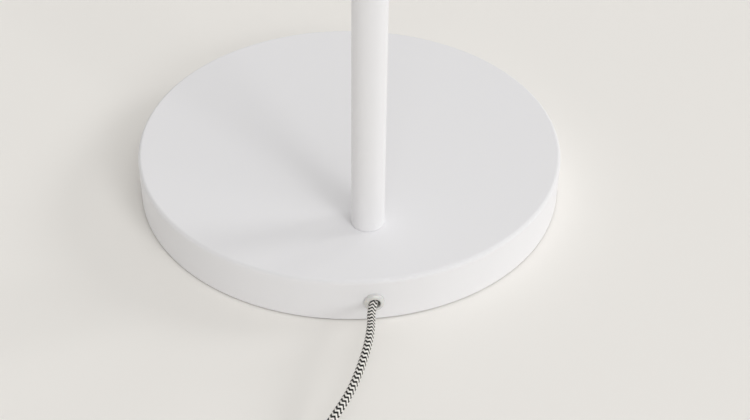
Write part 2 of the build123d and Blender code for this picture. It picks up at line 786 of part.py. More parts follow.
with BuildPart() as terminal_screws:
    with BuildSketch(head_plane(core_floor_z)):
        with GridLocations(terminal_spacing, 0, 2, 1):
            Circle(terminal_screw_diameter / 2)
    extrude(amount=core_thickness)
    with BuildSketch(head_plane(core_top_z)):
        with GridLocations(terminal_spacing, 0, 2, 1):
            Circle(terminal_screw_diameter)
    extrude(amount=terminal_screw_diameter / 2)
save(terminal_screws.part, "terminal_screws")

with BuildPart() as centre_contact:
    with BuildSketch(head_plane(core_floor_z)):
        SlotOverall(2 * contact_width, contact_width)
    extrude(amount=-contact_thickness)
    with BuildSketch(head_plane(core_floor_z - contact_thickness)):
        Circle(contact_width / 2)
    extrude(amount=-contact_button)
save(centre_contact.part, "centre_contact")

# Head leads: from the joint lead down the stem, then apart to the two sides of the core
lead_top_z = shade_seat_z - hole_gap
head_lead_turn = core_top_z + joint_lead_diameter
with BuildPart() as head_lead:
    with BuildSketch(head_plane(head_lead_turn)):
        Circle(joint_lead_diameter / 2)
    extrude(amount=lead_top_z - head_lead_turn)
    with BuildSketch(head_plane(head_lead_turn)):
        SlotOverall(terminal_spacing + joint_lead_diameter, joint_lead_diameter, rotation=90)
    extrude(amount=joint_lead_diameter)
    with BuildSketch(head_plane(core_floor_z + core_thickness / 2)):
        with GridLocations(0, terminal_spacing, 1, 2):
            Circle(joint_lead_diameter / 2)
    extrude(amount=head_lead_turn - core_floor_z - core_thickness / 2)
save(head_lead.part, "head_lead")

# Bulb: metal screw cap, insulator and tip above, collar and opal globe below
globe_top_z = bulb_seat_z - bulb_collar_length
bulb_cap_radius = bulb_cap_diameter / 2
bulb_globe_radius = bulb_globe_diameter / 2
bulb_neck_radius = bulb_collar_diameter / 2 - bulb_globe_wall
globe_centre_z = globe_top_z - sqrt(bulb_globe_radius**2 - bulb_neck_radius**2)

with BuildPart() as bulb_cap:
    with BuildSketch(head_plane(bulb_seat_z)):
        Circle(bulb_cap_radius)
    extrude(amount=bulb_cap_length)
save(bulb_cap.part, "bulb_cap")

with BuildPart() as bulb_insulator:
    with BuildSketch(head_plane(bulb_cap_top_z)):
        Circle(bulb_cap_radius - bulb_insulator_height / 2)
    with BuildSketch(head_plane(insulator_top_z)):
        Circle(bulb_tip_diameter / 2 + bulb_insulator_height / 2)
    loft()
save(bulb_insulator.part, "bulb_insulator")

with BuildPart() as bulb_tip:
    with BuildSketch(head_plane(insulator_top_z)):
        Circle(bulb_tip_diameter / 2)
    extrude(amount=bulb_tip_height)
    fillet(bulb_tip.faces().sort_by(Axis.Z)[-1].edges(), bulb_tip_height / 2)
save(bulb_tip.part, "bulb_tip")

with BuildPart() as bulb_collar:
    with BuildSketch(head_plane(globe_top_z)):
        Circle(bulb_collar_diameter / 2)
    with BuildSketch(head_plane(bulb_seat_z)):
        Circle(bulb_cap_radius + bulb_globe_wall)
    loft()
save(bulb_collar.part, "bulb_collar")

with BuildPart() as bulb_globe:
    with BuildSketch(upright_plane(head_y)):
        with Locations((0, globe_centre_z)):
            Circle(bulb_globe_radius)
            Circle(bulb_globe_radius - bulb_globe_wall, mode=Mode.SUBTRACT)
        with Locations((0, globe_centre_z)):
            Rectangle(
                bulb_globe_diameter, bulb_globe_diameter, align=(Align.MAX, Align.CENTER), mode=Mode.SUBTRACT
            )
        with Locations((0, globe_top_z)):
            Rectangle(
                bulb_globe_diameter, bulb_globe_diameter, align=(Align.CENTER, Align.MIN), mode=Mode.SUBTRACT
            )
    revolve(axis=Axis((0, head_y, 0), (0, 0, 1)))
save(bulb_globe.part, "bulb_globe")


# Rotary switch: body under the shade's flat, neck and nut through it, shaft and knob on top
def switch_plane(z):
    return Plane(origin=(switch_x, head_y, z))


switch_neck_top_z = shade_seat_z + switch_nut_thickness + switch_knob_lift
knob_floor_z = switch_neck_top_z + slide_gap
knob_top_z = knob_floor_z + switch_knob_height
shaft_bore = switch_shaft_diameter / 2 + running_gap
shaft_foot_z = shade_ceiling_z - switch_body_height / 2
with BuildPart() as switch_body:
    with BuildSketch(switch_plane(shade_ceiling_z - switch_body_height)):
        Circle(switch_body_diameter / 2)
    extrude(amount=switch_body_height)
    with BuildSketch(switch_plane(shade_ceiling_z)):
        Circle(switch_neck_diameter / 2)
    extrude(amount=switch_neck_top_z - shade_ceiling_z)
    with BuildSketch(switch_plane(switch_neck_top_z)):
        Circle(shaft_bore)
    extrude(amount=shaft_foot_z - slide_gap - switch_neck_top_z, mode=Mode.SUBTRACT)
save(switch_body.part, "switch_body")

switch_nut = ring(
    switch_plane(shade_seat_z),
    switch_nut_diameter / 2,
    switch_neck_diameter / 2 + fit_gap,
    switch_nut_thickness,
)
save(switch_nut, "switch_nut")

shaft_top_z = knob_top_z - switch_knob_wall
with BuildPart() as switch_shaft:
    with BuildSketch(switch_plane(shaft_foot_z)):
        Circle(switch_shaft_diameter / 2)
    extrude(amount=shaft_top_z - shaft_foot_z)
save(switch_shaft.part, "switch_shaft")

with BuildPart() as switch_knob:
    with BuildSketch(switch_plane(knob_floor_z)):
        Circle(switch_knob_diameter / 2)
    extrude(amount=switch_knob_height)
    fillet(switch_knob.faces().sort_by(Axis.Z)[-1].edges(), switch_knob_round)
    with BuildSketch(switch_plane(knob_floor_z)):
        Circle(switch_shaft_diameter / 2 + fit_gap)
    extrude(amount=shaft_top_z - knob_floor_z, mode=Mode.SUBTRACT)
    with BuildSketch(switch_plane(knob_top_z)):
        with Locations((0, switch_knob_diameter / 4)):
            Rectangle(switch_pointer_width, switch_knob_diameter / 2)
    extrude(amount=-switch_pointer_width / 2, mode=Mode.SUBTRACT)
save(switch_knob.part, "switch_knob")

# Mains cord: out of the bushing a little upwards, in a low arch down to the floor, on to the coil
coil_turn_radius = coil_turn_diameter / 2
coil_middle_z = tie_thickness + coil_height / 2
cord_start = exit_plane(cord_entry_end).origin
mains_points = [
    (cord_start.X, cord_start.Y, cord_start.Z),
    (-8.0, -162.0, 18.5),
    (-10.5, -180.5, 23.5),
    (-15.0, -197.0, 24.0),
    (-22.5, -215.5, 22.5),
    (-31.0, -232.0, 20.5),
    (-42.5, -248.5, 20.0),
    (-54.5, -263.5, 15.0),
    (-63.0, -281.0, 9.0),
    (-68.5, -299.5, 4.5),
    (-71.5, -318.5, 2.7),
    (-72.7, -336.0, 2.8),
]
save(cord_tube(mains_points, route_radii(mains_points), cord_diameter), "mains_cord")

with BuildPart() as cord_coil:
    with BuildSketch(Plane(origin=(coil_centre_x, coil_centre_y, 0), x_dir=(1, 0, 0), z_dir=(0, -1, 0))):
        with Locations((coil_turn_radius, coil_middle_z)):
            RectangleRounded(coil_width, coil_height, coil_round)
    revolve(axis=Axis((coil_centre_x, coil_centre_y, 0), (0, 0, 1)))
save(cord_coil.part, "cord_coil")

tie_direction = Vector(cos(radians(tie_angle)), sin(radians(tie_angle)), 0)
tie_plane = Plane(
    origin=tie_direction * coil_turn_radius + Vector(coil_centre_x, coil_centre_y, coil_middle_z),
    x_dir=tie_direction,
    z_dir=tie_direction.cross(Vector(0, 0, 1)),
)
with BuildPart() as coil_tie:
    with BuildSketch(tie_plane):
        RectangleRounded(
            coil_width + 2 * tie_thickness, coil_height + 2 * tie_thickness, coil_round + tie_thickness
        )
        RectangleRounded(coil_width, coil_height, coil_round, mode=Mode.SUBTRACT)
    extrude(amount=tie_width / 2, both=True)
save(coil_tie.part, "coil_tie")

# Plug, lying flat beside the coil, and the short tail of cord that reaches it
plug_middle_z = plug_thickness / 2
plug_y = coil_centre_y - coil_turn_radius - coil_width / 2 + cord_radius
plug_start_x = coil_centre_x + plug_reach
tail_points = [
    (plug_start_x - 36.0, plug_y + 0.5, coil_middle_z),
    (plug_start_x - 25.0, plug_y + 0.3, 8.4),
    (plug_start_x - 13.0, plug_y, plug_middle_z),
    (plug_start_x, plug_y, plug_middle_z),
]
save(cord_tube(tail_points, route_radii(tail_points), cord_diameter), "cord_tail")


def plug_plane(x):
    """Upright plane across the plug: local x is +Y, local y is +Z, normal +X."""
    return Plane(origin=(x, plug_y, plug_middle_z), x_dir=(0, 1, 0), z_dir=(1, 0, 0))


body_start_x = plug_start_x + relief_length
body_end_x = body_start_x + plug_body_length
with BuildPart() as plug_relief:
    with BuildSketch(plug_plane(plug_start_x)):
        Circle(relief_tip_diameter / 2)
    with BuildSketch(plug_plane(body_start_x)):
        Circle(relief_root_diameter / 2)
    loft()
save(plug_relief.part, "plug_relief")

with BuildPart() as plug_body:
    with BuildSketch(Plane(origin=(body_start_x, plug_y, 0))):
        with BuildLine():
            Polyline(
                (0, relief_root_diameter / 2),
                (plug_shoulder, plug_width / 2),
                (plug_body_length - plug_shoulder / 2, plug_width / 2),
                (plug_body_length, plug_front_width / 2),
                (plug_body_length, -plug_front_width / 2),
                (plug_body_length - plug_shoulder / 2, -plug_width / 2),
                (plug_shoulder, -plug_width / 2),
                (0, -relief_root_diameter / 2),
                close=True,
            )
        make_face()
    extrude(amount=plug_thickness)
    fillet(plug_body.edges().filter_by(GeomType.LINE).filter_by(Plane.XY), plug_edge_round)
    with BuildSketch(plug_plane(body_end_x)):
        with GridLocations(pin_spacing, 0, 2, 1):
            Circle(pin_diameter / 2 + fit_gap)
    extrude(amount=-pin_root, mode=Mode.SUBTRACT)
save(plug_body.part, "plug_body")

with BuildPart() as plug_pins:
    with BuildSketch(plug_plane(body_end_x - pin_root)):
        with GridLocations(pin_spacing, 0, 2, 1):
            Circle(pin_diameter / 2)
    extrude(amount=pin_root + pin_length)
    fillet(plug_pins.faces().sort_by(Axis.X)[-2:].edges(), pin_diameter / 4)
    with BuildSketch(plug_plane(body_end_x)):
        with GridLocations(pin_spacing, 0, 2, 1):
            Circle(pin_diameter / 2)
            Circle(pin_diameter / 2 - pin_sleeve_wall - fit_gap, mode=Mode.SUBTRACT)
    extrude(amount=pin_sleeve_length, mode=Mode.SUBTRACT)
save(plug_pins.part, "plug_pins")

with BuildPart() as pin_sleeves:
    with BuildSketch(plug_plane(body_end_x)):
        with GridLocations(pin_spacing, 0, 2, 1):
            Circle(pin_diameter / 2)
            Circle(pin_diameter / 2 - pin_sleeve_wall, mode=Mode.SUBTRACT)
    extrude(amount=pin_sleeve_length)
save(pin_sleeves.part, "pin_sleeves")
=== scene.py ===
import json
import math

import bpy
from mathutils import Euler, Matrix, Vector


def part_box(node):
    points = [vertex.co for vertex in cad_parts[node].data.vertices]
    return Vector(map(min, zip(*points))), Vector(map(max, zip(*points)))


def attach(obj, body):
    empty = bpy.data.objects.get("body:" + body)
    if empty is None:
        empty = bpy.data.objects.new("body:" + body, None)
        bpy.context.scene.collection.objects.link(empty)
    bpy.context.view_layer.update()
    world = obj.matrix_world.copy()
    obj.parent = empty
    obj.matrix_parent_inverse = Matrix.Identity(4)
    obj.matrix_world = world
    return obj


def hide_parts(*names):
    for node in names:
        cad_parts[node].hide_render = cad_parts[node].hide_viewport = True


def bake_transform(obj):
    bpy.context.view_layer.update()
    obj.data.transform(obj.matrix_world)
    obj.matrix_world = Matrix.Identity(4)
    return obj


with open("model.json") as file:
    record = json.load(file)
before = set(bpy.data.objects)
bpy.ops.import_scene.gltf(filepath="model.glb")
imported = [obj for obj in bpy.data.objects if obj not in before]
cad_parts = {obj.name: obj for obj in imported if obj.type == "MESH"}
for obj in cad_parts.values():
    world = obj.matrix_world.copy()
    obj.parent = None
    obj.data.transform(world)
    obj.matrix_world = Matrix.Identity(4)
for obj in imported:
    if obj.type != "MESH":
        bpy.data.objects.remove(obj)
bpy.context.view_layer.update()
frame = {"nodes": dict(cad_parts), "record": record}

# Arc floor lamp with a round white base, seen from behind and above. Blender's lengths are in
# metres. The sizes named here are in millimetres, and their angles in degrees, unless they say.
MM = 0.001
nodes = frame["nodes"]

# Camera: the place in metres, the turn and the lens that the ellipse of the base and the lean of
# the post give, and how far it sees, in metres
CAMERA_PLACE = (-0.10198, -0.77544, 0.60825)
CAMERA_TURN = (50.7502, -0.6477, -8.3301)
CAMERA_LENS = 65.146
CAMERA_SENSOR = 36.0
CAMERA_REACH = 50.0

# Facets round a cord, steps between two points of its route and order of the spline along them
CORD_SIDES = 32
CORD_STEPS = 14
CORD_ORDER = 3

# Braided mains cord, from its exit to the coil
CORD_DIAMETER = 5.2
MAINS_ROUTE = [
    (-4.21, -150.74, 16.0),
    (-8.0, -162.0, 18.5),
    (-10.5, -180.5, 23.5),
    (-15.0, -197.0, 24.0),
    (-22.5, -215.5, 22.5),
    (-31.0, -232.0, 20.5),
    (-42.5, -248.5, 20.0),
    (-54.5, -263.5, 15.0),
    (-63.0, -281.0, 9.0),
    (-68.5, -299.5, 4.5),
    (-71.5, -318.5, 2.7),
    (-72.7, -336.0, 2.8),
]

# Coil: its turns lie side by side in lanes round a flattened bundle, an ellipse with two half axes,
# and shift by one lane each turn. Its angle is where the cord comes in, and the start lane is an
# angle round the bundle
COIL_CENTRE = (-35.0, -350.0, 9.4)
COIL_ANGLE = 180.0
COIL_TURN_RADIUS = 31.0
COIL_LANES = 9
COIL_LANE_WIDE = 9.0
COIL_LANE_HIGH = 6.0
COIL_LANE_STEPS = 720
COIL_START_LANE = -42.0
COIL_TURNS = 8.25
COIL_POINTS_PER_TURN = 16

# Strap round the coil: where it sits round the coil, its band, the start and end of its lap round
# the bundle, the gap under the lap and its rounded edge
STRAP_ANGLE = 35.0
STRAP_WIDTH = 12.0
STRAP_THICKNESS = 0.75
STRAP_SIDES = 72
STRAP_LAP = (20.0, 125.0)
STRAP_LAP_GAP = 0.15
STRAP_EDGE = 0.2

# Strain relief of the plug. One rib and its slot are four stations: share of the pitch, and depth
# of the cut
RELIEF_START = (10.0, -390.0, 6.85)
RELIEF_LENGTH = 28.0
RELIEF_TIP_RADIUS = 4.0
RELIEF_ROOT_RADIUS = 5.5
RELIEF_RIBS = 7
RELIEF_RIB = ((0.0, 0.0), (0.58, 0.0), (0.64, 0.8), (0.94, 0.8))
RELIEF_SIDES = 40

# The cord's end, from the coil to the strain relief
TAIL_ROUTE = [
    (-26.0, -389.5, 9.0),
    (-15.0, -389.7, 8.4),
    (-3.0, -390.0, 6.85),
    RELIEF_START,
]

# Lead through the tilt joint, from the joint's axis: down the upper half, past the pivot screw on
# its far side, and down the lower half. Between a twist's height above the axis and below, it
# crosses from one side of the axis to the other
JOINT_AXIS = (0.0, 509.0, 1304.0)
LEAD_DIAMETER = 3.0
LEAD_TWIST = 3.67
LEAD_ROUTE = [
    (0.0, 0.0, 24.5),
    (0.0, 0.0, 23.0),
    (-3.0, 0.0, 15.0),
    (-3.0, 0.0, 10.5),
    (-3.0, 5.5, LEAD_TWIST),
    (3.0, 5.5, -LEAD_TWIST),
    (3.0, 0.0, -10.5),
    (3.0, 0.0, -15.0),
    (0.0, 0.0, -23.0),
    (0.0, 0.0, -24.5),
]

# Felt disc: facets round it and width of its rounded edge
FELT_SIDES = 160
FELT_EDGE = 0.6

# Edges flatter than the first angle are shaded smooth, edges sharper than the second are rounded
SMOOTH_BELOW = 40.0
ROUND_ABOVE = 50.0

# Floor and wall of the studio, in metres
FLOOR_RADIUS = 12.0
FLOOR_SIDES = 128
COVE_ROUND = 3.0
COVE_STEPS = 10
WALL_HEIGHT = 4.5

# Each light: the way to it round from +X and up from the floor, its breadth, and its strength
LIGHTS = {
    "window_right": (6, 24, 18, 0.6),
    "window_right_low": (34, 16, 16, 0.24),
    "window_front": (-62, 26, 18, 0.6),
    "window_front_high": (-70, 56, 45, 0.73),
    "pale_room_behind": (60, 45, 50, 0.15),
}

# Soft light of the room from all sides
ROOM_COLOUR = "#F4F2F0"
ROOM_STRENGTH = 0.505

# Sizes of the patterns in the finishes
PEEL_SIZE = 0.6
COAT_DRIFT_SIZE = 60.0
SINK_MARK_SIZE = 4.0
PLATING_CLOUD_SIZE = 8.0
SAND_SIZE = 1.5
FELT_FIBRE_SIZE = 0.4
FELT_CLUMP_SIZE = 2.0
GLASS_WAVE_SIZE = 18.0
GLAZE_SPECK_SIZE = 0.9
STRAP_THREAD_SIZE = 0.5
FLOOR_CLOUD_SIZE = 400.0

# Zigzag of the braid: the pitch of its stripes, and their place along the cord in pitches
ZIGZAG_PITCH = 3.175
ZIGZAG_OFFSET = 0.788

# Teeth of the zigzag: their number round the cord, their height in pitches and their place, as a
# share of the way round
ZIGZAG_TEETH = 5
ZIGZAG_HEIGHT = 0.44
ZIGZAG_START = 0.11

# Slow sway of the teeth to and fro: how far, as a share of the way round, over what length of cord,
# and from which turn, in radians
ZIGZAG_SWAY = 0.06
ZIGZAG_SWAY_LENGTH = 172.0
ZIGZAG_SWAY_TURN = -1.118

# Soft edge of a stripe, in pitches from the middle of the black, and number of threads in a pitch
STRIPE_EDGE = (0.24, 0.28)
THREADS_PER_PITCH = 6

# Length of cord at the exit where the stripes are drawn coarser, and how many times as coarse
COARSE_LENGTH = 26.0
COARSE_SHARE = 1.3

# Colours that are used more than once
COAT_WHITE = "#EAEAEC"
BRAID_BLACK = "#1C1B1B"
BRAID_WHITE = "#F3F1EC"
BRAID_GREY = "#8A8987"
GLAZE_IVORY = "#EAE6DC"

# Length in metres after which a wave texture of scale 1 repeats
WAVE_LENGTH = math.pi / 10


# Camera


def place_camera():
    """The camera of the photo, without shift or depth of field."""
    turn = [math.radians(angle) for angle in CAMERA_TURN]
    bpy.ops.object.camera_add(location=CAMERA_PLACE, rotation=turn)
    camera = bpy.context.object
    camera.name = "camera"
    camera.data.sensor_fit = "HORIZONTAL"
    camera.data.sensor_width = CAMERA_SENSOR
    camera.data.lens = CAMERA_LENS
    camera.data.clip_end = CAMERA_REACH
    bpy.context.scene.camera = camera


# Materials


def colour(hex_code):
    """Linear colour of an sRGB hex code."""
    channels = [int(hex_code[i : i + 2], 16) / 255 for i in (1, 3, 5)]
    linear = [c / 12.92 if c <= 0.04045 else ((c + 0.055) / 1.055) ** 2.4 for c in channels]
    return (*linear, 1.0)


def add(material, kind, inputs=None, **settings):
    """Adds a node with its settings. An input is a number, a colour or another node's socket."""
    node = material.node_tree.nodes.new("ShaderNode" + kind)
    for name, value in settings.items():
        setattr(node, name, value)
    for name, value in (inputs or {}).items():
        if isinstance(value, bpy.types.NodeSocket):
            material.node_tree.links.new(value, node.inputs[name])
        else:
            node.inputs[name].default_value = value
    return node


def finish_of(name, base, roughness, **sockets):
    """New material with its Principled shader. Its values are the same all over, or about the mean
    of the pattern that is then joined to the socket."""
    material = bpy.data.materials.new(name)
    material.use_nodes = True
    shader = material.node_tree.nodes["Principled BSDF"]
    shader.inputs["Base Color"].default_value = colour(base)
    shader.inputs["Roughness"].default_value = roughness
    for socket, value in sockets.items():
        shader.inputs[socket.replace("_", " ")].default_value = value
    return material, shader


def join(material, socket, target):
    """Joins a node's output to a socket of the shader."""
    material.node_tree.links.new(socket, target)


def powder_coat(name):
    """Epoxy-polyester powder coat, sprayed and baked: even off-white, dull, with a fine
    orange-peel skin that only softens the highlights and a slow drift of its gloss."""
    material, shader = finish_of(name, COAT_WHITE, 0.74, IOR=1.5)
    place = add(material, "TexCoord").outputs["Object"]
    peel = add(
        material, "TexNoise", {"Vector": place, "Scale": 1 / (PEEL_SIZE * MM), "Detail": 2.0}
    )
    drift = add(
        material, "TexNoise", {"Vector": place, "Scale": 1 / (COAT_DRIFT_SIZE * MM), "Detail": 3.0}
    )
    tone = add(
        material, "MapRange", {"Value": drift.outputs["Fac"], "To Min": 0.7, "To Max": 0.78}
    )
    join(material, tone.outputs["Result"], shader.inputs["Roughness"])
    bump = add(
        material,
        "Bump",
        {"Height": peel.outputs["Fac"], "Strength": 0.12, "Distance": 0.03 * MM},
    )
    join(material, bump.outputs["Normal"], shader.inputs["Normal"])
    return material


def coat_with_painted_edge_shade():
    """The same powder coat on the pressed cover, with painted shade: a little greyer on the round
    edge between the flat top and the wall, to tone down the highlight that the lights put there.
    The tone goes by the level share of the normal times its upright share, which is 1/4 in the
    middle of the edge."""
    material = powder_coat("powder_coat_painted_edge_shade")
    shader = material.node_tree.nodes["Principled BSDF"]
    facing = add(material, "SeparateXYZ", {"Vector": add(material, "TexCoord").outputs["Normal"]})
    level = add(
        material, "Math", {0: facing.outputs["Z"], 1: facing.outputs["Z"]}, operation="MULTIPLY"
    )
    upright = add(material, "Math", {0: 1.0, 1: level.outputs["Value"]}, operation="SUBTRACT")
    both = add(
        material,
        "Math",
        {0: level.outputs["Value"], 1: upright.outputs["Value"]},
        operation="MULTIPLY",
    )
    # Painted shade: the round edge, half level and half upright, is darkened toward #E5E5E7
    painted_edge_shade = add(material, "MapRange", {"Value": both.outputs["Value"], "From Max": 0.25})
    tone = add(
        material,
        "Mix",
        {"Factor": painted_edge_shade.outputs["Result"], "A": colour(COAT_WHITE), "B": colour("#E5E5E7")},
        data_type="RGBA",
    )
    join(material, tone.outputs["Result"], shader.inputs["Base Color"])
    return material


def gloss_plastic():
    """Glossy moulded nylon: white, with a soft sheen under a clear hard skin that has small sharp
    highlights, and faint sink marks of a few millimetres."""
    material, shader = finish_of("white_gloss_nylon", "#D4D4D2", 0.3, IOR=1.53)
    shader.inputs["Subsurface Weight"].default_value = 0.08
    shader.inputs["Subsurface Scale"].default_value = 0.8 * MM
    shader.inputs["Coat Weight"].default_value = 1.0
    shader.inputs["Coat Roughness"].default_value = 0.04
    shader.inputs["Coat IOR"].default_value = 1.6
    place = add(material, "TexCoord").outputs["Object"]
    sink = add(
        material, "TexNoise", {"Vector": place, "Scale": 1 / (SINK_MARK_SIZE * MM), "Detail": 1.0}
    )
    tone = add(
        material, "MapRange", {"Value": sink.outputs["Fac"], "To Min": 0.26, "To Max": 0.34}
    )
    join(material, tone.outputs["Result"], shader.inputs["Roughness"])
    bump = add(
        material,
        "Bump",
        {"Height": sink.outputs["Fac"], "Strength": 0.1, "Distance": 0.05 * MM},
    )
    join(material, bump.outputs["Normal"], shader.inputs["Normal"])
    return material


def satin_plastic(name, base, roughness, grain):
    """Moulded plastic, or the bulb's fused glass: an even skin with a fine grain of a given size
    in mm."""
    material, shader = finish_of(name, base, roughness, IOR=1.5)
    place = add(material, "TexCoord").outputs["Object"]
    skin = add(material, "TexNoise", {"Vector": place, "Scale": 1 / (grain * MM), "Detail": 3.0})
    tone = add(
        material,
        "MapRange",
        {"Value": skin.outputs["Fac"], "To Min": roughness - 0.07, "To Max": roughness + 0.07},
    )
    join(material, tone.outputs["Result"], shader.inputs["Roughness"])
    bump = add(
        material,
        "Bump",
        {"Height": skin.outputs["Fac"], "Strength": 0.25, "Distance": 0.04 * MM},
    )
    join(material, bump.outputs["Normal"], shader.inputs["Normal"])
    return material


def metal(name, base, roughness, grain, stretch):
    """Plain or plated metal: fine tool marks of a given size in mm, drawn out along Z by a factor,
    over a duller clouding."""
    material, shader = finish_of(name, base, roughness, Metallic=1.0)
    place = add(material, "TexCoord").outputs["Object"]
    drawn = add(material, "Mapping", {"Vector": place, "Scale": (1.0, 1.0, 1 / stretch)})
    marks = add(
        material,
        "TexNoise",
        {"Vector": drawn.outputs["Vector"], "Scale": 1 / (grain * MM), "Detail": 4.0},
    )
    cloud = add(
        material,
        "TexNoise",
        {"Vector": place, "Scale": 1 / (PLATING_CLOUD_SIZE * MM), "Detail": 2.0},
    )
    both = add(
        material,
        "Math",
        {0: marks.outputs["Fac"], 1: cloud.outputs["Fac"]},
        operation="MULTIPLY",
    )
    tone = add(
        material,
        "MapRange",
        {
            "Value": both.outputs["Value"],
            "From Max": 0.5,
            "To Min": roughness - 0.08,
            "To Max": roughness + 0.12,
        },
    )
    join(material, tone.outputs["Result"], shader.inputs["Roughness"])
    bump = add(
        material,
        "Bump",
        {"Height": marks.outputs["Fac"], "Strength": 0.15, "Distance": 0.02 * MM},
    )
    join(material, bump.outputs["Normal"], shader.inputs["Normal"])
    return material


def cast_iron():
    """Sand-cast iron under black primer: dull, with the grain of the sand and a rusty tone."""
    material, shader = finish_of("primed_cast_iron", "#2A2A29", 0.75)
    place = add(material, "TexCoord").outputs["Object"]
    sand = add(
        material, "TexNoise", {"Vector": place, "Scale": 1 / (SAND_SIZE * MM), "Detail": 4.0}
    )
    tone = add(
        material,
        "Mix",
        {"Factor": sand.outputs["Fac"], "A": colour("#232322"), "B": colour("#37332F")},
        data_type="RGBA",
    )
    join(material, tone.outputs["Result"], shader.inputs["Base Color"])
    bump = add(
        material,
        "Bump",
        {"Height": sand.outputs["Fac"], "Strength": 0.7, "Distance": 0.3 * MM},
    )
    join(material, bump.outputs["Normal"], shader.inputs["Normal"])
    return material


def felt():
    """Pressed wool felt: dark grey fibres in all directions and small clumps, no gloss."""
    material, shader = finish_of("dark_wool_felt", "#3B3A39", 0.95)
    shader.inputs["Sheen Weight"].default_value = 0.4
    shader.inputs["Sheen Roughness"].default_value = 0.6
    place = add(material, "TexCoord").outputs["Object"]
    fibre = add(
        material, "TexNoise", {"Vector": place, "Scale": 1 / (FELT_FIBRE_SIZE * MM), "Detail": 5.0}
    )
    clump = add(
        material, "TexNoise", {"Vector": place, "Scale": 1 / (FELT_CLUMP_SIZE * MM), "Detail": 3.0}
    )
    both = add(
        material,
        "Math",
        {0: fibre.outputs["Fac"], 1: clump.outputs["Fac"]},
        operation="ADD",
    )
    tone = add(
        material,
        "Mix",
        {"Factor": clump.outputs["Fac"], "A": colour("#2C2B2B"), "B": colour("#4A4948")},
        data_type="RGBA",
    )
    join(material, tone.outputs["Result"], shader.inputs["Base Color"])
    bump = add(
        material,
        "Bump",
        {"Height": both.outputs["Value"], "Strength": 0.8, "Distance": 0.25 * MM},
    )
    join(material, bump.outputs["Normal"], shader.inputs["Normal"])
    return material


def opal_glass():
    """Blown opal glass: milky all through, smooth and glossy, very slightly uneven."""
    material, shader = finish_of("opal_glass", "#F4F2EA", 0.12, IOR=1.52)
    shader.inputs["Subsurface Weight"].default_value = 0.35
    shader.inputs["Subsurface Scale"].default_value = 4 * MM
    place = add(material, "TexCoord").outputs["Object"]
    wave = add(
        material, "TexNoise", {"Vector": place, "Scale": 1 / (GLASS_WAVE_SIZE * MM), "Detail": 1.0}
    )
    bump = add(
        material,
        "Bump",
        {"Height": wave.outputs["Fac"], "Strength": 0.08, "Distance": 0.2 * MM},
    )
    join(material, bump.outputs["Normal"], shader.inputs["Normal"])
    return material


def glazed_ceramic():
    """Glazed steatite: ivory white with fine dark specks and a wet gloss."""
    material, shader = finish_of("glazed_ceramic", GLAZE_IVORY, 0.18, IOR=1.55)
    place = add(material, "TexCoord").outputs["Object"]
    speck = add(
        material, "TexNoise", {"Vector": place, "Scale": 1 / (GLAZE_SPECK_SIZE * MM), "Detail": 2.0}
    )
    spots = add(
        material, "MapRange", {"Value": speck.outputs["Fac"], "From Min": 0.66, "From Max": 0.74}
    )
    tone = add(
        material,
        "Mix",
        {"Factor": spots.outputs["Result"], "A": colour(GLAZE_IVORY), "B": colour("#B9B1A2")},
        data_type="RGBA",
    )
    join(material, tone.outputs["Result"], shader.inputs["Base Color"])
    return material


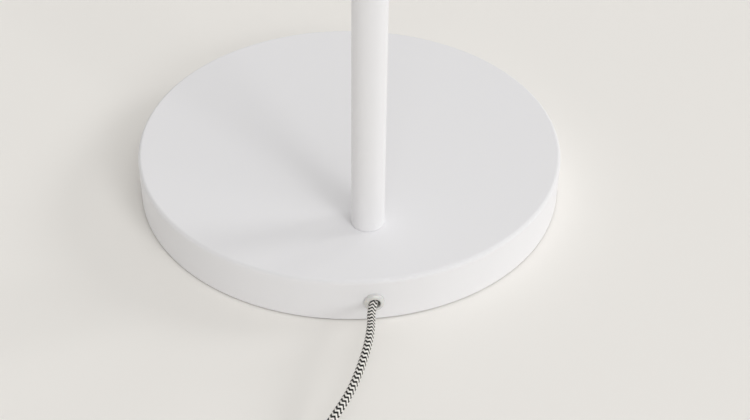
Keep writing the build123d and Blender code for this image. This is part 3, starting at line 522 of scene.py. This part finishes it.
def braid():
    """Cotton braid over a round cord: black and white zigzag stripes that climb by one pitch on
    each way round the cord, with teeth round it that sway slowly to and fro along its length.
    Threads of about 0.5 mm show as fine ridges. Near its exit the cord is seen nearly end on and
    the stripes are too fine to show, so they are drawn coarser there. U runs round, V along in
    metres."""
    material, shader = finish_of("zigzag_cotton_braid", BRAID_GREY, 0.85)
    shader.inputs["Sheen Weight"].default_value = 0.06
    shader.inputs["Sheen Roughness"].default_value = 0.5
    place = add(material, "UVMap", uv_map="sheath")
    axes = add(material, "SeparateXYZ", {"Vector": place.outputs["UV"]})
    sway_turn = add(
        material,
        "Math",
        {0: axes.outputs["Y"], 1: 2 * math.pi / (ZIGZAG_SWAY_LENGTH * MM), 2: ZIGZAG_SWAY_TURN},
        operation="MULTIPLY_ADD",
    )
    sway = add(material, "Math", {0: sway_turn.outputs["Value"]}, operation="SINE")
    shift = add(
        material,
        "Math",
        {0: sway.outputs["Value"], 1: ZIGZAG_SWAY, 2: ZIGZAG_START},
        operation="MULTIPLY_ADD",
    )
    wound = add(material, "Math", {0: axes.outputs["X"], 1: shift.outputs["Value"]})
    round_cord = add(
        material, "Math", {0: wound.outputs["Value"], 1: 2.0 * ZIGZAG_TEETH}, operation="MULTIPLY"
    )
    tooth = add(material, "Math", {0: round_cord.outputs["Value"], 1: 1.0}, operation="PINGPONG")
    along = add(
        material,
        "Math",
        {0: axes.outputs["Y"], 1: 1 / (ZIGZAG_PITCH * MM), 2: ZIGZAG_OFFSET},
        operation="MULTIPLY_ADD",
    )
    before = add(
        material, "Math", {0: axes.outputs["Y"], 1: COARSE_LENGTH * MM}, operation="SUBTRACT"
    )
    coarse = add(material, "Math", {0: before.outputs["Value"], 1: 0.0}, operation="MINIMUM")
    drawn_out = add(
        material,
        "Math",
        {
            0: coarse.outputs["Value"],
            1: (1 / COARSE_SHARE - 1) / (ZIGZAG_PITCH * MM),
            2: along.outputs["Value"],
        },
        operation="MULTIPLY_ADD",
    )
    spiral = add(material, "Math", {0: axes.outputs["X"], 1: drawn_out.outputs["Value"]})
    phase = add(
        material,
        "Math",
        {0: tooth.outputs["Value"], 1: ZIGZAG_HEIGHT, 2: spiral.outputs["Value"]},
        operation="MULTIPLY_ADD",
    )
    ring = add(material, "Math", {0: phase.outputs["Value"], 1: 0.5}, operation="PINGPONG")
    stripe = add(
        material,
        "MapRange",
        {"Value": ring.outputs["Value"], "From Min": STRIPE_EDGE[0], "From Max": STRIPE_EDGE[1]},
    )
    dye = add(
        material,
        "Mix",
        {"Factor": stripe.outputs["Result"], "A": colour(BRAID_BLACK), "B": colour(BRAID_WHITE)},
        data_type="RGBA",
    )
    join(material, dye.outputs["Result"], shader.inputs["Base Color"])
    turns = add(
        material,
        "Math",
        {0: phase.outputs["Value"], 1: 2 * math.pi * THREADS_PER_PITCH},
        operation="MULTIPLY",
    )
    thread = add(material, "Math", {0: turns.outputs["Value"]}, operation="SINE")
    bump = add(
        material,
        "Bump",
        {"Height": thread.outputs["Value"], "Strength": 0.5, "Distance": 0.12 * MM},
    )
    join(material, bump.outputs["Normal"], shader.inputs["Normal"])
    return material


def hidden_braid():
    """The same braid where it is hidden inside the base: black and white rings across the cord."""
    material, shader = finish_of("ringed_cotton_braid", BRAID_GREY, 0.85)
    place = add(material, "TexCoord").outputs["Object"]
    rings = add(
        material,
        "TexWave",
        {"Vector": place, "Scale": WAVE_LENGTH / (ZIGZAG_PITCH * MM), "Distortion": 0.4},
        bands_direction="Y",
    )
    dye = add(
        material,
        "Mix",
        {"Factor": rings.outputs["Fac"], "A": colour(BRAID_BLACK), "B": colour(BRAID_WHITE)},
        data_type="RGBA",
    )
    join(material, dye.outputs["Result"], shader.inputs["Base Color"])
    return material


def strap_weave():
    """Woven polyester strap: pale, a plain weave of fine threads, a little sheen."""
    material, shader = finish_of("woven_strap", "#D9D8D5", 0.8)
    shader.inputs["Sheen Weight"].default_value = 0.25
    place = add(material, "TexCoord").outputs["Object"]
    weft = add(
        material,
        "TexWave",
        {"Vector": place, "Scale": WAVE_LENGTH / (STRAP_THREAD_SIZE * MM)},
        bands_direction="Z",
    )
    warp = add(
        material,
        "TexWave",
        {"Vector": place, "Scale": WAVE_LENGTH / (STRAP_THREAD_SIZE * MM)},
        bands_direction="DIAGONAL",
    )
    both = add(
        material,
        "Math",
        {0: weft.outputs["Fac"], 1: warp.outputs["Fac"]},
        operation="MULTIPLY",
    )
    tone = add(
        material,
        "Mix",
        {"Factor": both.outputs["Value"], "A": colour("#C2C1BD"), "B": colour("#E4E3E0")},
        data_type="RGBA",
    )
    join(material, tone.outputs["Result"], shader.inputs["Base Color"])
    bump = add(
        material,
        "Bump",
        {"Height": both.outputs["Value"], "Strength": 0.6, "Distance": 0.1 * MM},
    )
    join(material, bump.outputs["Normal"], shader.inputs["Normal"])
    return material


def pale_floor():
    """Pale floor paint: a warm off-white, matt, with a very slight clouding."""
    material, shader = finish_of("pale_floor", "#F1EFEB", 0.7)
    place = add(material, "TexCoord").outputs["Object"]
    cloud = add(
        material, "TexNoise", {"Vector": place, "Scale": 1 / (FLOOR_CLOUD_SIZE * MM), "Detail": 2.0}
    )
    tone = add(
        material,
        "Mix",
        {"Factor": cloud.outputs["Fac"], "A": colour("#F0EEEA"), "B": colour("#F2F0EC")},
        data_type="RGBA",
    )
    join(material, tone.outputs["Result"], shader.inputs["Base Color"])
    return material


# Cords


def lane_place(share):
    """Point (out from the middle of the bundle, up) at a share of the way round its lanes."""
    first = math.radians(COIL_START_LANE)
    angles = [first - 2 * math.pi * i / COIL_LANE_STEPS for i in range(COIL_LANE_STEPS + 1)]
    lane = [
        (COIL_LANE_WIDE * math.cos(angle), COIL_LANE_HIGH * math.sin(angle)) for angle in angles
    ]
    reach = [0.0]
    for here, there in zip(lane, lane[1:]):
        reach.append(reach[-1] + math.dist(here, there))
    wanted = (share % 1.0) * reach[-1]
    return next(point for point, length in zip(lane, reach) if length >= wanted)


def coil_route():
    """Points of the coil's turns, from the side where the cord comes in to where it leaves."""
    route = []
    step = 360 / COIL_POINTS_PER_TURN
    for i in range(1, int(COIL_TURNS * COIL_POINTS_PER_TURN)):
        turn = i * step
        out, up = lane_place(turn / 360 / COIL_LANES)
        angle = math.radians(COIL_ANGLE + turn)
        radius = COIL_TURN_RADIUS + out
        route.append(
            (
                COIL_CENTRE[0] + radius * math.cos(angle),
                COIL_CENTRE[1] + radius * math.sin(angle),
                COIL_CENTRE[2] + up,
            )
        )
    return route


def smooth_line(name, route):
    """Points along the smooth spline that has the route's points as its control points."""
    curve = bpy.data.curves.new(name, "CURVE")
    curve.dimensions = "3D"
    curve.resolution_u = CORD_STEPS
    spline = curve.splines.new("NURBS")
    spline.points.add(len(route) - 1)
    for point, place in zip(spline.points, route):
        point.co = (place[0] * MM, place[1] * MM, place[2] * MM, 1.0)
    spline.order_u = CORD_ORDER
    spline.use_endpoint_u = True
    holder = bpy.data.objects.new(name, curve)
    bpy.context.scene.collection.objects.link(holder)
    bpy.context.view_layer.update()
    line = bpy.data.meshes.new_from_object(holder)
    points = [vertex.co.copy() for vertex in line.vertices]
    bpy.data.objects.remove(holder)
    bpy.data.curves.remove(curve)
    bpy.data.meshes.remove(line)
    return points


def cord_tube(name, line, diameter):
    """Round tube along the line. Its map has U round the tube and V along it, in metres."""
    radius = diameter / 2 * MM
    headings = []
    for i in range(len(line)):
        headings.append((line[min(i + 1, len(line) - 1)] - line[max(i - 1, 0)]).normalized())
    side = Vector((1.0, 0.0, 0.0))
    corners, ring_at, along = [], [], 0.0
    for i, (place, heading) in enumerate(zip(line, headings)):
        side = (side - heading * side.dot(heading)).normalized()
        across = heading.cross(side)
        if i:
            along += (place - line[i - 1]).length
        ring_at.append(along)
        for k in range(CORD_SIDES):
            angle = 2 * math.pi * k / CORD_SIDES
            corners.append(place + radius * (math.cos(angle) * side + math.sin(angle) * across))
    faces, maps = [], []
    for i in range(len(line) - 1):
        for k in range(CORD_SIDES):
            after = (k + 1) % CORD_SIDES
            low, high = i * CORD_SIDES, (i + 1) * CORD_SIDES
            faces.append((low + k, low + after, high + after, high + k))
            left, right = k / CORD_SIDES, (k + 1) / CORD_SIDES
            maps += [(left, ring_at[i]), (right, ring_at[i])]
            maps += [(right, ring_at[i + 1]), (left, ring_at[i + 1])]
    last = (len(line) - 1) * CORD_SIDES
    faces.append(tuple(reversed(range(CORD_SIDES))))
    faces.append(tuple(range(last, last + CORD_SIDES)))
    maps += [(0.5, 0.0)] * CORD_SIDES + [(0.5, along)] * CORD_SIDES
    mesh = bpy.data.meshes.new(name)
    mesh.from_pydata(corners, [], faces)
    layer = mesh.uv_layers.new(name="sheath")
    for corner, place in zip(layer.data, maps):
        corner.uv = place
    for polygon in mesh.polygons:
        polygon.use_smooth = len(polygon.vertices) == 4
    tube = bpy.data.objects.new(name, mesh)
    bpy.context.scene.collection.objects.link(tube)
    return tube


# Strap, strain relief and felt


def deselect():
    """Leaves edit mode, with nothing selected."""
    if bpy.context.object and bpy.context.object.mode != "OBJECT":
        bpy.ops.object.mode_set(mode="OBJECT")
    bpy.ops.object.select_all(action="DESELECT")


def select_only(piece):
    """Selects one piece and makes it the active one."""
    deselect()
    piece.select_set(True)
    bpy.context.view_layer.objects.active = piece


def apply_place(piece):
    """Puts the piece's place, turn and size into its mesh."""
    select_only(piece)
    bpy.ops.object.transform_apply(location=True, rotation=True, scale=True)


def shade_smooth(piece):
    """Shades the piece smooth over its flat edges and leaves the sharp ones."""
    select_only(piece)
    bpy.ops.object.shade_smooth_by_angle(angle=math.radians(SMOOTH_BELOW))


def turned(name, stations, sides, start, turn):
    """Piece turned on a lathe: a disc drawn out along its axis through (distance, radius)
    stations in mm, then set in place."""
    deselect()
    first = stations[0]
    bpy.ops.mesh.primitive_circle_add(
        vertices=sides, radius=first[1] * MM, fill_type="NGON", location=(0, 0, first[0] * MM)
    )
    piece = bpy.context.object
    piece.name = name
    bpy.ops.object.transform_apply(location=True)
    bpy.ops.object.mode_set(mode="EDIT")
    bpy.ops.mesh.select_all(action="SELECT")
    for before, after in zip(stations, stations[1:]):
        step = (after[0] - before[0]) * MM
        bpy.ops.mesh.extrude_region_move(TRANSFORM_OT_translate={"value": (0, 0, step)})
        share = after[1] / before[1]
        bpy.ops.transform.resize(
            value=(share, share, 1.0), center_override=(0, 0, after[0] * MM)
        )
    bpy.ops.mesh.select_all(action="SELECT")
    bpy.ops.mesh.normals_make_consistent(inside=False)
    bpy.ops.object.mode_set(mode="OBJECT")
    piece.rotation_euler = Euler(turn)
    piece.location = [value * MM for value in start]
    apply_place(piece)
    shade_smooth(piece)
    return piece


def apply_modifier(piece, kind, **settings):
    """Gives the piece a modifier with its settings and applies it."""
    modifier = piece.modifiers.new(kind.lower(), kind)
    for name, value in settings.items():
        setattr(modifier, name, value)
    select_only(piece)
    bpy.ops.object.modifier_apply(modifier=modifier.name)


def round_edges(piece, width, segments):
    """Rounds the piece's sharp edges with a bevel of a width in mm."""
    limit = math.radians(ROUND_ABOVE)
    apply_modifier(piece, "BEVEL", width=width * MM, segments=segments, angle_limit=limit)


def strap():
    """Strap round the coil: a band bent to the bundle's section, its end lapped over itself."""
    deselect()
    bpy.ops.mesh.primitive_cylinder_add(
        vertices=STRAP_SIDES, radius=1.0, depth=STRAP_WIDTH * MM, end_fill_type="NOTHING"
    )
    band = bpy.context.object
    band.name = "coil_strap"
    bpy.ops.object.mode_set(mode="EDIT")
    bpy.ops.mesh.select_all(action="SELECT")
    bpy.ops.transform.resize(value=(COIL_LANE_WIDE * MM, COIL_LANE_HIGH * MM, 1.0))
    bpy.ops.mesh.subdivide(number_cuts=1)
    bpy.ops.transform.shrink_fatten(value=CORD_DIAMETER / 2 * MM)
    bpy.ops.mesh.select_all(action="DESELECT")
    bpy.ops.object.mode_set(mode="OBJECT")
    for polygon in band.data.polygons:
        lap = math.degrees(math.atan2(polygon.center.y, polygon.center.x))
        polygon.select = STRAP_LAP[0] < lap < STRAP_LAP[1]
    bpy.ops.object.mode_set(mode="EDIT")
    bpy.ops.mesh.duplicate()
    bpy.ops.transform.shrink_fatten(value=(STRAP_THICKNESS + STRAP_LAP_GAP) * MM)
    bpy.ops.object.mode_set(mode="OBJECT")
    apply_modifier(band, "SOLIDIFY", thickness=STRAP_THICKNESS * MM, offset=1.0)
    round_edges(band, STRAP_EDGE, segments=2)
    out = math.radians(STRAP_ANGLE)
    axes = Matrix(
        (
            (math.cos(out), 0.0, math.sin(out)),
            (math.sin(out), 0.0, -math.cos(out)),
            (0.0, 1.0, 0.0),
        )
    )
    band.rotation_euler = axes.to_euler()
    middle = Vector(COIL_CENTRE) + COIL_TURN_RADIUS * Vector((math.cos(out), math.sin(out), 0))
    band.location = middle * MM
    apply_place(band)
    shade_smooth(band)
    return band


def felt_disc():
    """Felt disc under the base, with its two edges softly rounded."""
    low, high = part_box("floor_pad")
    deselect()
    bpy.ops.mesh.primitive_cylinder_add(
        vertices=FELT_SIDES,
        radius=(high.x - low.x) / 2,
        depth=high.z - low.z,
        location=(low + high) / 2,
    )
    disc = bpy.context.object
    disc.name = "felt_disc"
    apply_place(disc)
    round_edges(disc, FELT_EDGE, segments=3)
    shade_smooth(disc)
    return disc


def strain_relief():
    """Ribbed strain relief of the plug: rings of soft plastic with slots between them."""
    stations = []
    pitch = RELIEF_LENGTH / RELIEF_RIBS
    for rib in range(RELIEF_RIBS):
        for share, cut in RELIEF_RIB:
            if rib == RELIEF_RIBS - 1 and cut:
                continue
            reach = (rib + share) * pitch
            slope = reach / RELIEF_LENGTH
            radius = RELIEF_TIP_RADIUS + (RELIEF_ROOT_RADIUS - RELIEF_TIP_RADIUS) * slope
            stations.append((reach, radius - cut))
    stations.append((RELIEF_LENGTH, RELIEF_ROOT_RADIUS))
    along_x = (0, math.radians(90), 0)
    return turned("ribbed_relief", stations, RELIEF_SIDES, RELIEF_START, along_x)


# Floor and light


def studio_floor():
    """Round floor whose edge sweeps up into a plain wall, so that no horizon shows. It throws no
    shadow, so the light comes in over it from all sides."""
    deselect()
    bpy.ops.mesh.primitive_circle_add(
        vertices=FLOOR_SIDES, radius=FLOOR_RADIUS, fill_type="NGON"
    )
    floor = bpy.context.object
    floor.name = "floor"
    bpy.ops.object.mode_set(mode="EDIT")
    bpy.ops.mesh.select_all(action="SELECT")
    rise, reach = 0.0, FLOOR_RADIUS
    for step in range(1, COVE_STEPS + 1):
        angle = math.radians(90 * step / COVE_STEPS)
        up = COVE_ROUND * (1 - math.cos(angle))
        out = FLOOR_RADIUS + COVE_ROUND * math.sin(angle)
        bpy.ops.mesh.extrude_region_move(TRANSFORM_OT_translate={"value": (0, 0, up - rise)})
        bpy.ops.transform.resize(value=(out / reach, out / reach, 1.0), center_override=(0, 0, up))
        rise, reach = up, out
    bpy.ops.mesh.extrude_region_move(TRANSFORM_OT_translate={"value": (0, 0, WALL_HEIGHT - rise)})
    bpy.ops.mesh.delete(type="FACE")
    shade_smooth(floor)
    floor.visible_shadow = False
    return floor


def hang_lights():
    """A sun for each light, turned to shine from its side."""
    for name, (azimuth, elevation, breadth, strength) in LIGHTS.items():
        deselect()
        bpy.ops.object.light_add(type="SUN")
        light = bpy.context.object
        light.name = name
        light.data.energy = strength
        light.data.angle = math.radians(breadth)
        side, up = math.radians(azimuth), math.radians(elevation)
        way = Vector((math.cos(side), math.sin(side), math.tan(up)))
        light.rotation_euler = way.to_track_quat("Z", "Y").to_euler()


def light_room():
    """The even light of a pale room."""
    world = bpy.data.worlds.new("soft_room")
    bpy.context.scene.world = world
    world.use_nodes = True
    room = world.node_tree.nodes["Background"]
    room.inputs["Color"].default_value = colour(ROOM_COLOUR)
    room.inputs["Strength"].default_value = ROOM_STRENGTH
    bpy.context.scene.view_settings.view_transform = "Standard"


# Camera and new pieces

place_camera()

line = smooth_line("cord_line", MAINS_ROUTE + coil_route() + TAIL_ROUTE)
cord = cord_tube("braided_cord", line, CORD_DIAMETER)
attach(cord, "stand")
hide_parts("mains_cord", "cord_coil", "cord_tail")

coil_strap = strap()
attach(coil_strap, "stand")
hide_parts("coil_tie")

relief = strain_relief()
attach(relief, "stand")
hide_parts("plug_relief")

joint_axis = Vector(JOINT_AXIS)
lead_line = smooth_line("lead_line", [joint_axis + Vector(place) for place in LEAD_ROUTE])
lead = cord_tube("bending_lead", lead_line, LEAD_DIAMETER)
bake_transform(lead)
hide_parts("joint_lead")

pad = felt_disc()
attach(pad, "stand")
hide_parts("floor_pad")

# Finish of each material slot
FINISHES = {
    "white_powder_coat": powder_coat("white_powder_coat"),
    "cast_ballast": cast_iron(),
    "felt": felt(),
    "zinc_steel": metal("zinc_plated_steel", "#BDBFBD", roughness=0.32, grain=0.25, stretch=1.0),
    "white_gloss_plastic": gloss_plastic(),
    "white_matte_plastic": satin_plastic("white_pvc", "#E9E8E4", roughness=0.42, grain=0.5),
    "grey_plastic": satin_plastic("grey_abs", "#5A5A5A", roughness=0.5, grain=0.5),
    "nylon": satin_plastic("natural_nylon", "#DCD9CC", roughness=0.45, grain=0.8),
    "white_lead": satin_plastic("white_cable_sheath", "#E2E1DC", roughness=0.4, grain=0.7),
    "braid": hidden_braid(),
    "tie_strap": strap_weave(),
    "ceramic": glazed_ceramic(),
    "brass": metal("bright_brass", "#D2AE62", roughness=0.24, grain=0.3, stretch=1.0),
    "nickel_steel": metal("nickel_plate", "#CFCBC3", roughness=0.18, grain=0.3, stretch=1.0),
    "bulb_cap_metal": metal("bare_aluminium", "#D5D6D7", roughness=0.3, grain=0.2, stretch=4.0),
    "black_glass": satin_plastic("black_fused_glass", "#141414", roughness=0.18, grain=1.5),
    "opal_glass": opal_glass(),
}
FINISHES["white_shade"] = FINISHES["white_powder_coat"]

for part in frame["record"]["subparts"]:
    node = nodes[part["node"]]
    node.data.materials.clear()
    node.data.materials.append(FINISHES[part["material_slot"]])
# The cover's coat has painted shade on its round edge
nodes["base_cover"].data.materials[0] = coat_with_painted_edge_shade()
cord.data.materials.append(braid())
coil_strap.data.materials.append(FINISHES["tie_strap"])
relief.data.materials.append(FINISHES["white_matte_plastic"])
lead.data.materials.append(FINISHES["white_lead"])
pad.data.materials.append(FINISHES["felt"])

# Floor and lights

floor = studio_floor()
floor.data.materials.append(pale_floor())
hang_lights()
light_room()
